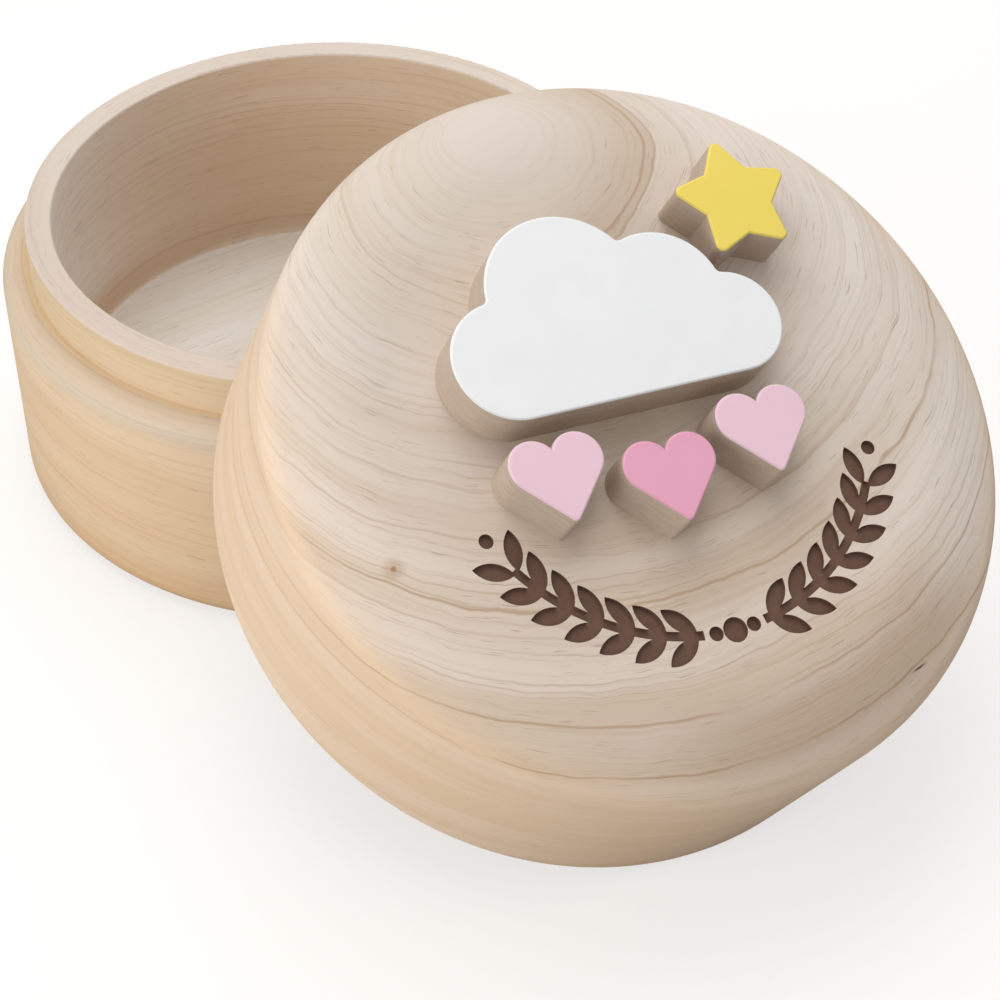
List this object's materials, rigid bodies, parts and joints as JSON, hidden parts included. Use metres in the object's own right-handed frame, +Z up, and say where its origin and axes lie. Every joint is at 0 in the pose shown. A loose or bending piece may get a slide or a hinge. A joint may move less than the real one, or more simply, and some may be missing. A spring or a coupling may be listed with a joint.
{
  "type": "round wooden keepsake box",
  "caption": "Round turned wooden keepsake box for baby teeth: a bowl with a stepped rim, and a lift-off lid with painted cut-outs and an engraved garland, leaning on the bowl.",
  "frame": {"origin": "middle of the bowl's flat underside", "axes": "+Z up along the bowl's axis; the lid, taken off, leans on the bowl's rim towards -Y; +X to the right of someone who faces the lid"},
  "size_m": [0.0722, 0.123, 0.0566],
  "materials": {
    "bowl_wood": "bare sanded pale wood",
    "lid_wood": "bare sanded pale wood, engraving burnt brown",
    "white_paint": "matte white paint on the face, bare edges",
    "yellow_paint": "matte yellow paint on the face, bare edges",
    "light_pink_paint": "matte light pink paint on the face, bare edges",
    "deep_pink_paint": "matte deeper pink paint on the face, bare edges"
  },
  "bodies": {
    "bowl": {"base_bowl": "bowl_wood"},
    "lid": {"lid": "lid_wood", "cloud_cutout": "white_paint", "star_cutout": "yellow_paint", "heart_cutout_left": "light_pink_paint", "heart_cutout_middle": "deep_pink_paint", "heart_cutout_right": "light_pink_paint"}
  },
  "joints": [
    {"name": "lid_lift", "type": "slide", "parent": "bowl", "child": "lid", "axis": [0, 0, 1], "range_m": [0, 0.06]}
  ]
}
